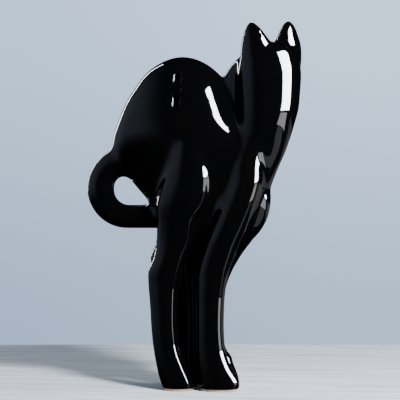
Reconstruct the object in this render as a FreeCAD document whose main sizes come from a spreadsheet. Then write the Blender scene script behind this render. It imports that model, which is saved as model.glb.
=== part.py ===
"""Tall glazed ceramic cat: a hollow money box on four legs, with a coin slot and an emptying stopper.

Frame: millimetres, +X where the cat's body points, +Y its left side, +Z up. The origin is on the
floor under the middle of the cat's bounding box. Right-hand pieces are on -Y.
"""

import FreeCAD, Part

import math
import os

import Sketcher

os.makedirs("parts", exist_ok=True)
doc = FreeCAD.newDocument("CeramicCat")

# ---------------------------------------------------------------------------
# Driving dimensions
# ---------------------------------------------------------------------------

SIZES = {
    # torso: an egg-shaped hump, hollow, with a wall of even thickness
    "body_length": 162,
    "body_height": 198,
    "body_width": 94,
    "belly_height": 144,
    "wall": 6,
    # neck and head: rise from the chest, and the head turns to the cat's right
    "head_rise": 211,
    "head_reach": 34,
    "head_length": 80,
    "head_width": 62,
    "head_turn": 38,
    "throat_height": 262,
    "ear_height": 50,
    "ear_base_width": 34,
    "ear_thickness": 24,
    "ear_spread": 40,
    "ear_splay": 10,
    "ear_lift": 25,
    "ear_setback": 1,
    # tail: a closed loop behind the rump
    "tail_reach": 28,
    "loop_radius": 29,
    "loop_height": 206,
    "loop_from_rump": 14,
    "tail_root_tilt": 15.7,
    "tail_tip_setback": 3,
    "tail_root_thickness": 30,
    "tail_tip_thickness": 24,
    # legs: round, standing side by side, with a web of clay between them
    "hind_leg_from_rump": 55,
    "fore_leg_from_chest": 63,
    "leg_thickness": 27,
    "leg_spread": 33,
    "thigh_thickness": 61,
    "shoulder_thickness": 58,
    "hock_thickness": 31,
    "left_hind_step": 9,
    "web_thickness": 9,
    "web_clearance": 4,
    "web_top": 173,
    # feet and their unglazed soles
    "hind_foot_length": 36,
    "fore_foot_length": 42,
    "hind_heel": 7,
    "fore_heel": 10,
    "foot_width": 28,
    "foot_height": 17,
    "foot_rounding": 9,
    "sole_thickness": 2.5,
    "sole_inset": 1.5,
    # coin slot in the right flank
    "slot_length": 36,
    "slot_width": 6,
    "slot_from_rump": 70.5,
    "slot_height": 305,
    # emptying hole in the left flank, and its soft stopper
    "stopper_diameter": 30,
    "stopper_gap": 0.3,
    "stopper_depth": 13,
    "flange_diameter": 36,
    "flange_thickness": 2.5,
    "stopper_from_rump": 80,
    "stopper_height": 272,
    "seat_offset": 41,
}

sheet = doc.addObject("Spreadsheet::Sheet", "Sizes")
for row, (alias, value) in enumerate(SIZES.items(), start=1):
    sheet.set(f"A{row}", alias.replace("_", " "))
    sheet.set(f"B{row}", str(value))
    sheet.setAlias(f"B{row}", alias)
doc.recompute()

# The rump, the front of the chest and the head are placed so that the bounding box is centred.
RUMP = "(Sizes.tail_reach - Sizes.body_length - Sizes.head_reach) / 2"
CHEST = f"({RUMP} + Sizes.body_length)"
RIGHT = -1
LEFT = 1
SIDES = {"right": RIGHT, "left": LEFT}

# How far the legs stand from the two ends of the body.
HIND_LEG = f"({RUMP} + Sizes.hind_leg_from_rump)"
FORE_LEG = f"({CHEST} - Sizes.fore_leg_from_chest)"

# Sketches are drawn this far inside their own corner, so that every measure in them is positive.
SHIFT = 300
UP = FreeCAD.Vector(0, 0, 1)
ASIDE = FreeCAD.Vector(0, 1, 0)
QUARTER_TURN = FreeCAD.Rotation(UP, 90)
ALONG_X = FreeCAD.Rotation(ASIDE, -90)
FACING_Y = FreeCAD.Rotation(FreeCAD.Vector(1, 0, 0), 90)

# ---------------------------------------------------------------------------
# Section tables: what gives each lofted piece its profile
# ---------------------------------------------------------------------------

# name, share of the body's length from the rump, then the underside and the back as shares of
# the body's height above the belly line, and the share of the body's width
TORSO_RIBS = [
    ("rump", 0.000, 0.505, 0.596, 0.10),
    ("tail_root", 0.035, 0.425, 0.672, 0.30),
    ("haunch_back", 0.110, 0.345, 0.808, 0.58),
    ("haunch", 0.235, 0.230, 0.932, 0.83),
    ("hump", 0.440, 0.040, 1.000, 1.00),
    ("shoulder", 0.655, 0.000, 0.924, 0.98),
    ("neck_root", 0.830, 0.010, 0.740, 0.80),
    ("chest", 0.940, 0.085, 0.490, 0.54),
    ("breastbone", 0.992, 0.185, 0.315, 0.16),
]
HOLLOW_RIBS = ("haunch_back", "haunch", "hump", "shoulder", "neck_root", "chest")

# name, share of the head's rise above the belly line, centre behind (-) or ahead of the chest,
# shares of the head's length and width
NECK_RIBS = [
    ("breast", 0.190, -31, 0.68, 0.68),
    ("neck_low", 0.370, -21, 0.69, 0.69),
    ("neck_high", 0.502, -10, 0.72, 0.72),
    ("throat", 0.645, -4, 0.84, 0.82),
    ("jaw", 0.763, -3, 0.95, 0.95),
    ("cheek", 0.872, -4, 1.00, 1.00),
    ("brow", 0.950, 0, 0.84, 0.86),
    ("crown", 0.990, 1, 0.52, 0.54),
]
HOLLOW_NECK = ("breast", "neck_low", "neck_high", "throat", "jaw", "cheek", "brow")

# name, height in shares of the belly height, how far ahead of the leg's axis, diameter, how far
# the centre stands out from the middle as a share of the leg spread's half, and the share of the
# left hind leg's step ahead that this ring takes
HIND_LEG_RINGS = [
    ("ankle", 0.08, 3, "Sizes.leg_thickness", 1.0, 0.3),
    ("cannon_low", 0.25, 2, "Sizes.leg_thickness", 1.0, 0.7),
    ("cannon", 0.45, 0, "Sizes.leg_thickness", 1.0, 1.0),
    ("shank", 0.65, -2, "Sizes.leg_thickness * 1.03", 1.0, 0.8),
    ("hock", 0.81, -2, "Sizes.hock_thickness", 1.0, 0.4),
    ("gaskin", 0.96, 3, "Sizes.hock_thickness * 1.12", 1.0, 0.0),
    ("knee", 1.13, 9, "Sizes.thigh_thickness * 0.72", 1.0, 0.0),
    ("thigh", 1.34, 12, "Sizes.thigh_thickness", 0.9, 0.0),
    ("hip", 1.56, 14, "Sizes.thigh_thickness * 0.90", 0.7, 0.0),
]
FORE_LEG_RINGS = [
    ("pastern", 0.08, 3, "Sizes.leg_thickness", 1.0, 0.0),
    ("shin_low", 0.25, 1, "Sizes.leg_thickness", 1.0, 0.0),
    ("shin", 0.44, 0, "Sizes.leg_thickness", 1.0, 0.0),
    ("forearm", 0.62, 1, "Sizes.leg_thickness * 1.05", 1.0, 0.0),
    ("elbow_low", 0.78, 4, "Sizes.leg_thickness * 1.22", 1.0, 0.0),
    ("elbow", 0.92, 9, "Sizes.leg_thickness * 1.48", 1.0, 0.0),
    ("upper_arm", 1.06, 17, "Sizes.shoulder_thickness * 0.83", 0.95, 0.0),
    ("shoulder", 1.22, 25, "Sizes.shoulder_thickness * 0.95", 0.9, 0.0),
    ("withers", 1.40, 28, "Sizes.shoulder_thickness", 0.7, 0.0),
]

# ---------------------------------------------------------------------------
# Helpers
# ---------------------------------------------------------------------------


def ellipse(name, major, minor, place, rotation, turn=None):
    """One ellipse section: radii, centre and, if given, turn about the vertical, as expressions."""
    section = doc.addObject("Part::Ellipse", name)
    section.Placement = FreeCAD.Placement(FreeCAD.Vector(), rotation)
    section.setExpression("MajorRadius", major)
    section.setExpression("MinorRadius", minor)
    for axis, value in zip("xyz", place):
        section.setExpression(f"Placement.Base.{axis}", value)
    if turn:
        section.setExpression("Placement.Rotation.Angle", turn)
    return section


def circle(name, diameter, place, rotation):
    """One round section: diameter and centre as expressions."""
    section = doc.addObject("Part::Circle", name)
    section.Placement = FreeCAD.Placement(FreeCAD.Vector(), rotation)
    section.setExpression("Radius", f"({diameter}) / 2")
    for axis, value in zip("xyz", place):
        section.setExpression(f"Placement.Base.{axis}", value)
    return section


def loft(name, sections):
    """A smooth closed solid through a list of sections."""
    solid = doc.addObject("Part::Loft", name)
    solid.Sections = sections
    solid.Solid = True
    solid.MaxDegree = 3
    return solid


def fuse(name, *pieces):
    """All the pieces as one solid."""
    solid = doc.addObject("Part::MultiFuse", name)
    solid.Shapes = list(pieces)
    return solid


def cut(name, base, *tools):
    """The base without its tools, taken away one after another."""
    for number, tool in enumerate(tools, start=1):
        step = doc.addObject("Part::Cut", name if number == len(tools) else f"{name}_step_{number}")
        step.Base = base
        step.Tool = tool
        step.Refine = False
        base = step
    return base


def common(name, first, second):
    """What two pieces have in common."""
    solid = doc.addObject("Part::Common", name)
    solid.Base = first
    solid.Tool = second
    solid.Refine = False
    return solid


def box(name, size, corner):
    """A box from its three sizes and its lowest corner, all as expressions."""
    solid = doc.addObject("Part::Box", name)
    for side, value in zip(("Length", "Width", "Height"), size):
        solid.setExpression(side, value)
    for axis, value in zip("xyz", corner):
        solid.setExpression(f"Placement.Base.{axis}", value)
    return solid


def floor_sketch(body, name, level):
    """A sketch on the body's own horizontal plane, lifted to a level given as an expression."""
    plane = next(item for item in body.Origin.OriginFeatures if item.Role == "XY_Plane")
    sketch = body.newObject("Sketcher::SketchObject", name)
    sketch.AttachmentSupport = (plane, [""])
    sketch.MapMode = "FlatFace"
    sketch.AttachmentOffset = FreeCAD.Placement(
        FreeCAD.Vector(-SHIFT, -SHIFT, 0), FreeCAD.Rotation()
    )
    sketch.setExpression("AttachmentOffset.Base.z", level)
    return sketch


def bind(sketch, name, constraint, expression):
    """Add a named constraint and tie it to an expression."""
    index = sketch.addConstraint(constraint)
    sketch.renameConstraint(index, name)
    sketch.setExpression(f"Constraints.{name}", expression)


# ---------------------------------------------------------------------------
# Torso, neck and head
# ---------------------------------------------------------------------------


def torso_loft(name, ribs, inset):
    """The torso's egg through upright ribs, each radius drawn in by the inset expression."""
    sections = []
    for rib, along, under, over, width in ribs:
        sections.append(
            ellipse(
                f"{name}_{rib}",
                f"Sizes.body_height * {(over - under) / 2} - {inset}",
                f"Sizes.body_width * {width / 2} - {inset}",
                (
                    f"{RUMP} + Sizes.body_length * {along}",
                    "0",
                    f"Sizes.belly_height + Sizes.body_height * {(over + under) / 2}",
                ),
                ALONG_X,
            )
        )
    return loft(name, sections)


def neck_loft(name, ribs, inset):
    """The neck and head through level ribs, all turned as far as the head is."""
    sections = []
    for rib, rise, ahead, length, width in ribs:
        sections.append(
            ellipse(
                f"{name}_{rib}",
                f"Sizes.head_length * {length / 2} - {inset}",
                f"Sizes.head_width * {width / 2} - {inset}",
                (f"{CHEST} + {ahead}", "0", f"Sizes.belly_height + Sizes.head_rise * {rise}"),
                QUARTER_TURN,
                "360 - Sizes.head_turn",
            )
        )
    return loft(name, sections)


torso_outside = torso_loft("torso_outside", TORSO_RIBS, "0")
torso_inside = torso_loft(
    "torso_inside", [rib for rib in TORSO_RIBS if rib[0] in HOLLOW_RIBS], "Sizes.wall"
)
neck_outside = neck_loft("neck_outside", NECK_RIBS, "0")
neck_inside = neck_loft(
    "neck_inside", [rib for rib in NECK_RIBS if rib[0] in HOLLOW_NECK], "Sizes.wall"
)

SLOT_X = f"({RUMP} + Sizes.slot_from_rump)"
coin_slot = box(
    "coin_slot",
    ("Sizes.slot_width", "Sizes.body_width", "Sizes.slot_length"),
    (
        f"{SLOT_X} - Sizes.slot_width / 2",
        "-Sizes.body_width",
        "Sizes.slot_height - Sizes.slot_length / 2",
    ),
)

STOPPER_X = f"({RUMP} + Sizes.stopper_from_rump)"


def flank_cylinder(name, radius, start, length):
    """A cylinder across the left flank, on the stopper's axis."""
    solid = doc.addObject("Part::Cylinder", name)
    solid.Placement = FreeCAD.Placement(FreeCAD.Vector(), FACING_Y.inverted())
    solid.setExpression("Radius", radius)
    solid.setExpression("Height", length)
    for axis, value in zip("xyz", (STOPPER_X, start, "Sizes.stopper_height")):
        solid.setExpression(f"Placement.Base.{axis}", value)
    return solid


emptying_hole = flank_cylinder(
    "emptying_hole", "Sizes.stopper_diameter / 2 + Sizes.stopper_gap", "0", "Sizes.body_width"
)
stopper_seat = flank_cylinder(
    "stopper_seat",
    "Sizes.flange_diameter / 2 + Sizes.stopper_gap",
    "Sizes.seat_offset",
    "Sizes.body_width",
)

torso_shell = cut(
    "torso_shell",
    torso_outside,
    torso_inside,
    neck_inside,
    coin_slot,
    emptying_hole,
    stopper_seat,
)

above_throat = box(
    "above_throat",
    ("4 * Sizes.head_length", "4 * Sizes.head_width", "2 * Sizes.head_rise"),
    (f"{CHEST} - 2 * Sizes.head_length", "-2 * Sizes.head_width", "Sizes.throat_height"),
)
head_outside = common("head_outside", neck_outside, above_throat)
head = cut("head", head_outside, torso_outside, neck_inside)
neck = cut("neck", neck_outside, above_throat, torso_outside, neck_inside)

# ---------------------------------------------------------------------------
# Ears
# ---------------------------------------------------------------------------

# height in shares of the ear's height below the tip, then shares of its width, thickness, splay
EAR_RIBS = [
    ("base", 1.00, 1.00, 1.00, 0.0),
    ("middle", 0.55, 0.86, 0.80, 0.4),
    ("upper", 0.22, 0.54, 0.48, 0.8),
    ("tip", 0.00, 0.15, 0.16, 1.0),
]
EAR_TOP = "(Sizes.belly_height + Sizes.head_rise + Sizes.ear_lift)"
EAR_X = f"({CHEST} - Sizes.ear_setback)"


def ear(side, sign):
    """One upright ear: flat ellipses that shrink to a blunt tip and lean outwards."""
    sections = []
    for rib, drop, width, thick, lean in EAR_RIBS:
        out = f"{sign} * (Sizes.ear_spread / 2 + Sizes.ear_splay * {lean})"
        sections.append(
            ellipse(
                f"{side}_ear_{rib}",
                f"Sizes.ear_base_width * {width / 2}",
                f"Sizes.ear_thickness * {thick / 2}",
                (
                    f"{EAR_X} + ({out}) * sin(Sizes.head_turn * 1 deg)",
                    f"({out}) * cos(Sizes.head_turn * 1 deg)",
                    f"{EAR_TOP} - Sizes.ear_height * {drop}",
                ),
                QUARTER_TURN,
                "90 - Sizes.head_turn",
            )
        )
    return loft(f"{side}_ear_loft", sections)


ears = {side: cut(f"{side}_ear", ear(side, sign), neck_outside) for side, sign in SIDES.items()}

# ---------------------------------------------------------------------------
# Legs, feet and soles
# ---------------------------------------------------------------------------


def leg_column(name, axis_x, sign, rings, step):
    """A leg's column, lofted through level circles from the ankle up into the torso."""
    sections = []
    for ring, height, ahead, thickness, spread, step_share in rings:
        place = (
            f"{axis_x} + {ahead} + {step} * {step_share}",
            f"({sign}) * Sizes.leg_spread / 2 * {spread}",
            f"Sizes.belly_height * {height}",
        )
        sections.append(circle(f"{name}_{ring}", thickness, place, FreeCAD.Rotation()))
    return loft(name, sections)


# A stadium outline: bottom edge, toe, top edge and heel, and which ends of them meet.
TOE = 1
HEEL = 3
START, END, CENTRE = 1, 2, 3
MEETINGS = [(0, END, TOE, START), (TOE, END, 2, START), (2, END, HEEL, START), (HEEL, END, 0, START)]
ROUGH_RADIUS = 10


def foot_pad(name, heel_x, length, width, sign, level, height, rounding=None):
    """A pad with a stadium outline: the heel and the toe are half circles."""
    body = doc.addObject("PartDesign::Body", name)
    sketch = floor_sketch(body, f"{name}_outline", level)
    heel_centre = FreeCAD.Vector(SHIFT - ROUGH_RADIUS, SHIFT, 0)
    toe_centre = FreeCAD.Vector(SHIFT + ROUGH_RADIUS, SHIFT, 0)
    rim = FreeCAD.Vector(0, ROUGH_RADIUS, 0)
    toe_circle = Part.Circle(toe_centre, UP, ROUGH_RADIUS)
    heel_circle = Part.Circle(heel_centre, UP, ROUGH_RADIUS)
    right_angle = math.pi / 2
    sketch.addGeometry(Part.LineSegment(heel_centre - rim, toe_centre - rim), False)
    sketch.addGeometry(Part.ArcOfCircle(toe_circle, -right_angle, right_angle), False)
    sketch.addGeometry(Part.LineSegment(toe_centre + rim, heel_centre + rim), False)
    sketch.addGeometry(Part.ArcOfCircle(heel_circle, right_angle, 3 * right_angle), False)
    for first, first_end, second, second_end in MEETINGS:
        sketch.addConstraint(
            Sketcher.Constraint("Tangent", first, first_end, second, second_end)
        )
    sketch.addConstraint(Sketcher.Constraint("Horizontal", 0))
    sketch.addConstraint(Sketcher.Constraint("Equal", TOE, HEEL))
    bind(
        sketch,
        "round",
        Sketcher.Constraint("Radius", HEEL, ROUGH_RADIUS),
        f"({width}) / 2",
    )
    bind(
        sketch,
        "run",
        Sketcher.Constraint("DistanceX", HEEL, CENTRE, TOE, CENTRE, 2 * ROUGH_RADIUS),
        f"({length}) - ({width})",
    )
    bind(
        sketch,
        "heel",
        Sketcher.Constraint("DistanceX", -1, START, HEEL, CENTRE, heel_centre.x),
        f"{SHIFT} + {heel_x} + ({width}) / 2",
    )
    bind(
        sketch,
        "aside",
        Sketcher.Constraint("DistanceY", -1, START, HEEL, CENTRE, heel_centre.y),
        f"{SHIFT} + ({sign}) * Sizes.leg_spread / 2",
    )
    pad = body.newObject("PartDesign::Pad", f"{name}_pad")
    pad.Profile = sketch
    pad.setExpression("Length", height)
    if rounding:
        doc.recompute()
        top = max(range(len(pad.Shape.Faces)), key=lambda i: pad.Shape.Faces[i].CenterOfMass.z)
        fillet = body.newObject("PartDesign::Fillet", f"{name}_fillet")
        fillet.Base = (pad, [f"Face{top + 1}"])
        fillet.setExpression("Radius", rounding)
    return body


def half_space(side, sign):
    """Everything on one side of the cat's middle plane."""
    return box(
        f"{side}_half",
        ("4 * Sizes.body_length", "2 * Sizes.body_width", "2 * Sizes.body_height"),
        ("-2 * Sizes.body_length", "0" if sign > 0 else "-2 * Sizes.body_width", "0"),
    )


legs = {}
soles = {}
for side, sign in SIDES.items():
    other_half = half_space(f"beside_{side}", -sign)
    step = "Sizes.left_hind_step" if sign > 0 else "0"
    plans = {
        "hind": (HIND_LEG, HIND_LEG_RINGS, "Sizes.hind_foot_length", "Sizes.hind_heel", step),
        "fore": (FORE_LEG, FORE_LEG_RINGS, "Sizes.fore_foot_length", "Sizes.fore_heel", "0"),
    }
    for end, (axis_x, rings, foot_length, heel, leg_step) in plans.items():
        name = f"{side}_{end}"
        column = leg_column(f"{name}_column", axis_x, sign, rings, leg_step)
        heel_x = f"{axis_x} - {heel} + {leg_step} * {rings[0][-1]}"
        foot = foot_pad(
            f"{name}_foot",
            heel_x,
            foot_length,
            "Sizes.foot_width",
            sign,
            "Sizes.sole_thickness",
            "Sizes.foot_height",
            "Sizes.foot_rounding",
        )
        whole = fuse(f"{name}_whole", column, foot)
        legs[name] = cut(f"{name}_leg", whole, other_half, torso_outside)
        soles[name] = foot_pad(
            f"{name}_sole",
            f"{heel_x} + Sizes.sole_inset",
            f"{foot_length} - 2 * Sizes.sole_inset",
            "Sizes.foot_width - 2 * Sizes.sole_inset",
            sign,
            "0",
            "Sizes.sole_thickness",
        )

# ---------------------------------------------------------------------------
# Tail loop
# ---------------------------------------------------------------------------

LOOP_X = f"({RUMP} + Sizes.loop_from_rump)"
TAIL_END_X = f"({HIND_LEG} - Sizes.tail_tip_setback)"
LOOP, RUN = 0, 1

# The spine starts as a rough loop of a nearby size, and the constraints draw it to its measures.
rough_radius = SIZES["loop_radius"]
rough_middle = FreeCAD.Vector(SHIFT - SIZES["loop_height"] / 3, SIZES["loop_height"], 0)
rough_bottom = rough_middle - FreeCAD.Vector(0, rough_radius, 0)
rough_tip = rough_bottom + FreeCAD.Vector(rough_radius, 0, 0)
spine = doc.addObject("Sketcher::SketchObject", "tail_spine")
spine.Placement = FreeCAD.Placement(FreeCAD.Vector(-SHIFT, 0, 0), FACING_Y)
rough_circle = Part.Circle(rough_middle, UP, rough_radius)
root_angle = math.radians(90 - SIZES["tail_root_tilt"])
spine.addGeometry(Part.ArcOfCircle(rough_circle, root_angle, 1.5 * math.pi), False)
spine.addGeometry(Part.LineSegment(rough_bottom, rough_tip), False)
spine.addConstraint(Sketcher.Constraint("Tangent", LOOP, END, RUN, START))
spine.addConstraint(Sketcher.Constraint("Horizontal", RUN))
bind(
    spine,
    "radius",
    Sketcher.Constraint("Radius", LOOP, rough_radius),
    "Sizes.loop_radius",
)
bind(
    spine,
    "loop_x",
    Sketcher.Constraint("DistanceX", -1, START, LOOP, CENTRE, rough_middle.x),
    f"{SHIFT} + {LOOP_X}",
)
bind(
    spine,
    "loop_z",
    Sketcher.Constraint("DistanceY", -1, START, LOOP, CENTRE, rough_middle.y),
    "Sizes.loop_height",
)
bind(
    spine,
    "tip_x",
    Sketcher.Constraint("DistanceX", -1, START, RUN, END, rough_tip.x),
    f"{SHIFT} + {TAIL_END_X}",
)
ROOT_AHEAD = "Sizes.loop_radius * sin(Sizes.tail_root_tilt * 1 deg)"
ROOT_RISE = "Sizes.loop_radius * cos(Sizes.tail_root_tilt * 1 deg)"
bind(
    spine,
    "root_x",
    Sketcher.Constraint("DistanceX", LOOP, CENTRE, LOOP, START, rough_radius / 4),
    ROOT_AHEAD,
)

tail_root = circle(
    "tail_root",
    "Sizes.tail_root_thickness",
    (f"{LOOP_X} + {ROOT_AHEAD}", "0", f"Sizes.loop_height + {ROOT_RISE}"),
    FreeCAD.Rotation(ASIDE, 90),
)
tail_root.setExpression("Placement.Rotation.Angle", "90 + Sizes.tail_root_tilt")
tail_tip = circle(
    "tail_tip",
    "Sizes.tail_tip_thickness",
    (TAIL_END_X, "0", "Sizes.loop_height - Sizes.loop_radius"),
    FreeCAD.Rotation(ASIDE, 90),
)
tail_sweep = doc.addObject("Part::Sweep", "tail_sweep")
tail_sweep.Sections = [tail_root, tail_tip]
tail_sweep.Spine = (spine, ["Edge1", "Edge2"])
tail_sweep.Solid = True
tail_sweep.Frenet = False
tail_loop = cut("tail_loop", tail_sweep, torso_outside, legs["right_hind"], legs["left_hind"])

# ---------------------------------------------------------------------------
# Web of clay between the legs
# ---------------------------------------------------------------------------

web_slab = box(
    "web_slab",
    (
        f"{FORE_LEG} - {HIND_LEG}",
        "Sizes.web_thickness",
        "Sizes.web_top - Sizes.web_clearance",
    ),
    (HIND_LEG, "-Sizes.web_thickness / 2", "Sizes.web_clearance"),
)
leg_web = cut("leg_web", web_slab, torso_outside, *legs.values())

# ---------------------------------------------------------------------------
# Stopper
# ---------------------------------------------------------------------------

stopper_plug = flank_cylinder(
    "stopper_plug",
    "Sizes.stopper_diameter / 2",
    "Sizes.seat_offset - Sizes.stopper_depth + Sizes.stopper_gap",
    "Sizes.stopper_depth",
)
stopper_flange = flank_cylinder(
    "stopper_flange",
    "Sizes.flange_diameter / 2",
    "Sizes.seat_offset + Sizes.stopper_gap",
    "Sizes.flange_thickness",
)
stopper = fuse("stopper", stopper_plug, stopper_flange)

# ---------------------------------------------------------------------------
# Check every object and write the pieces
# ---------------------------------------------------------------------------

PIECES = {
    "torso_shell": torso_shell,
    "neck": neck,
    "head": head,
    "right_ear": ears["right"],
    "left_ear": ears["left"],
    "tail_loop": tail_loop,
    "right_hind_leg": legs["right_hind"],
    "left_hind_leg": legs["left_hind"],
    "right_fore_leg": legs["right_fore"],
    "left_fore_leg": legs["left_fore"],
    "leg_web": leg_web,
    "right_hind_sole": soles["right_hind"],
    "left_hind_sole": soles["left_hind"],
    "right_fore_sole": soles["right_fore"],
    "left_fore_sole": soles["left_fore"],
    "stopper": stopper,
}

doc.recompute()
for item in doc.Objects:
    if {"Invalid", "Error"} & set(item.State):
        raise RuntimeError(f"{item.Name} didn't compute: {item.State}")
for node, piece in PIECES.items():
    piece.Label = node
    if piece.Shape.isNull() or not piece.Shape.isValid():
        raise RuntimeError(f"{node} has no valid shape")
    piece.Shape.exportStep(f"parts/{node}.step")
    bounds = piece.Shape.optimalBoundingBox(True)
    print(
        f"{node:16s} solids {len(piece.Shape.Solids)} volume {piece.Shape.Volume / 1000:8.1f} cm3"
        f"  x {bounds.XMin:7.1f} {bounds.XMax:7.1f}  y {bounds.YMin:6.1f} {bounds.YMax:6.1f}"
        f"  z {bounds.ZMin:6.1f} {bounds.ZMax:6.1f}"
    )
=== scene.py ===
"""A tall black-glazed ceramic cat, a money box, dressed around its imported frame.

The glazed skin is modelled once as a single flowing form, the way a potter's model is, and is then
parted near the luting lines where cast pieces are joined, so that each clay piece has a mesh of its
own while the glaze runs over the joints without a break. Sizes are in millimetres.
"""

import logging
import math
from dataclasses import dataclass, field
from enum import Enum

import bmesh
import bpy
import numpy as np
from mathutils import Matrix, Vector
from mathutils.bvhtree import BVHTree


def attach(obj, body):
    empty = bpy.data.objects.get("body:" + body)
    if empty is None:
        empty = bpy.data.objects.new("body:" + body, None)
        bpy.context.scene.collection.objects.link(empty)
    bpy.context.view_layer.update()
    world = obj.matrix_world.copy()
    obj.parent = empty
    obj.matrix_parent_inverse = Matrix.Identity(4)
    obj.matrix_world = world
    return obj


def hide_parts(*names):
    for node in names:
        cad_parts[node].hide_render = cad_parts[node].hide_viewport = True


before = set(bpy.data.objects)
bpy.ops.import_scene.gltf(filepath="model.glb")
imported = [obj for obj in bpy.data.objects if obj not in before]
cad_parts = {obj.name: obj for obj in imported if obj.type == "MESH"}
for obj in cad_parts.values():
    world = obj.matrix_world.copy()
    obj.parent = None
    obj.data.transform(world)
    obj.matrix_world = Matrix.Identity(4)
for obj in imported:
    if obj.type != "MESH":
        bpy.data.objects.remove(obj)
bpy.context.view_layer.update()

MM = 0.001
CERAMIC = "ceramic_body"
PLUG = "stopper"
# How close to the skin a corner lies, in mm, and how alike its facing is, to take its shading.
SKIN_REACH = 0.02
SKIN_MATCH = 0.75
# How far each foot's middle stands out from the cat's middle, in mm.
FOOT_OUT = 16.5

logging.basicConfig(level=logging.INFO, format="%(message)s")
log = logging.getLogger("cat")


# ---------------------------------------------------------------------------
# Small helpers
# ---------------------------------------------------------------------------


def to_linear(colour: str) -> tuple[float, float, float, float]:
    """Turn an sRGB hex colour into linear red, green, blue and alpha.

    Args:
        colour: Six hex digits after a hash sign.

    Returns:
        The linear colour, opaque.
    """
    parts = [int(colour[i : i + 2], 16) / 255 for i in (1, 3, 5)]
    linear = [c / 12.92 if c <= 0.04045 else ((c + 0.055) / 1.055) ** 2.4 for c in parts]
    return (*linear, 1.0)


def add_node(
    tree: bpy.types.NodeTree, kind: str, inputs: dict | None = None, **settings
) -> bpy.types.Node:
    """Add a node with its settings, values and links.

    Args:
        tree: The node tree that gets the node.
        kind: The node's type name.
        inputs: Socket name or number to a value, or to the output socket that feeds it.
        **settings: Properties of the node itself.

    Returns:
        The new node.
    """
    node = tree.nodes.new(kind)
    for name, value in settings.items():
        setattr(node, name, value)
    for socket, value in (inputs or {}).items():
        if isinstance(value, bpy.types.NodeSocket):
            tree.links.new(value, node.inputs[socket])
        else:
            node.inputs[socket].default_value = value
    return node


def mix_colours(
    tree: bpy.types.NodeTree, factor: bpy.types.NodeSocket, first: object, second: object
) -> bpy.types.NodeSocket:
    """Add a colour mix and return its output; each colour is a value or a socket."""
    return add_node(
        tree, "ShaderNodeMix", {"Factor": factor, 6: first, 7: second}, data_type="RGBA"
    ).outputs[2]


def noise(
    tree: bpy.types.NodeTree, place: bpy.types.NodeSocket, scale_mm: float, detail: float
) -> bpy.types.NodeSocket:
    """Add a noise pattern of a size given in millimetres and return its output."""
    return add_node(
        tree,
        "ShaderNodeTexNoise",
        {"Vector": place, "Scale": 1 / (scale_mm * MM), "Detail": detail},
    ).outputs["Fac"]


def new_material(
    name: str,
) -> tuple[bpy.types.Material, bpy.types.NodeTree, bpy.types.NodeSocket]:
    """Make an empty material; return it, its node tree and its object coordinates."""
    made = bpy.data.materials.new(name)
    made.use_nodes = True
    tree = made.node_tree
    tree.nodes.clear()
    return made, tree, add_node(tree, "ShaderNodeTexCoord").outputs["Object"]


def finish_material(tree: bpy.types.NodeTree, settings: dict) -> None:
    """End a material's tree in one surface shader with these inputs."""
    shader = add_node(tree, "ShaderNodeBsdfPrincipled", settings)
    add_node(tree, "ShaderNodeOutputMaterial", {"Surface": shader.outputs["BSDF"]})


def level_axes(turn: float) -> tuple[Vector, Vector]:
    """The directions ahead and to the left of something turned to the cat's right, in degrees."""
    angle = math.radians(-turn)
    return (
        Vector((math.cos(angle), math.sin(angle), 0)),
        Vector((-math.sin(angle), math.cos(angle), 0)),
    )


def extrude_rim(
    bm: bmesh.types.BMesh, rim: list[bmesh.types.BMEdge]
) -> tuple[list[bmesh.types.BMVert], list[bmesh.types.BMEdge]]:
    """Extrude a form's open rim in place; return the new rim's corners and edges."""
    made = bmesh.ops.extrude_edge_only(bm, edges=rim)["geom"]
    verts = [item for item in made if isinstance(item, bmesh.types.BMVert)]
    corners = set(verts)
    edges = [
        item
        for item in made
        if isinstance(item, bmesh.types.BMEdge) and all(v in corners for v in item.verts)
    ]
    return verts, edges


def smooth_sides(thing: bpy.types.Object, all_faces: bool = False) -> None:
    """Shade the four-sided faces smooth, and the caps too if all_faces is set."""
    for polygon in thing.data.polygons:
        polygon.use_smooth = all_faces or polygon.loop_total == 4


def new_object(name: str, mesh: bpy.types.Mesh) -> bpy.types.Object:
    """Link a mesh into the scene as an object at the origin."""
    thing = bpy.data.objects.new(name, mesh)
    bpy.context.scene.collection.objects.link(thing)
    return thing


def mesh_from(bm: bmesh.types.BMesh, name: str) -> bpy.types.Mesh:
    """Turn a bmesh into a mesh and free it."""
    mesh = bpy.data.meshes.new(name)
    bm.to_mesh(mesh)
    bm.free()
    return mesh


def through(rows: list[tuple[float, ...]], count: int) -> np.ndarray:
    """Run a smooth Catmull-Rom curve through the rows of a table.

    Args:
        rows: Sections of a form, each a row of numbers.
        count: How many steps to take between two rows.

    Returns:
        The table with the steps between its rows filled in.
    """
    table = np.array(rows, float)
    first = 2 * table[0] - table[1]
    last = 2 * table[-1] - table[-2]
    table = np.vstack([first, table, last])
    dense = []
    for i in range(1, len(table) - 2):
        p0, p1, p2, p3 = table[i - 1 : i + 3]
        for step in range(count):
            t = step / count
            dense.append(
                0.5
                * (
                    2 * p1
                    + (p2 - p0) * t
                    + (2 * p0 - 5 * p1 + 4 * p2 - p3) * t**2
                    + (3 * p1 - p0 - 3 * p2 + p3) * t**3
                )
            )
    dense.append(table[-2])
    return np.array(dense)


def ease(share: float) -> float:
    """A smooth step from 0 to 1 as the share goes from 0 to 1."""
    share = min(1.0, max(0.0, share))
    return share * share * (3 - 2 * share)


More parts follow.
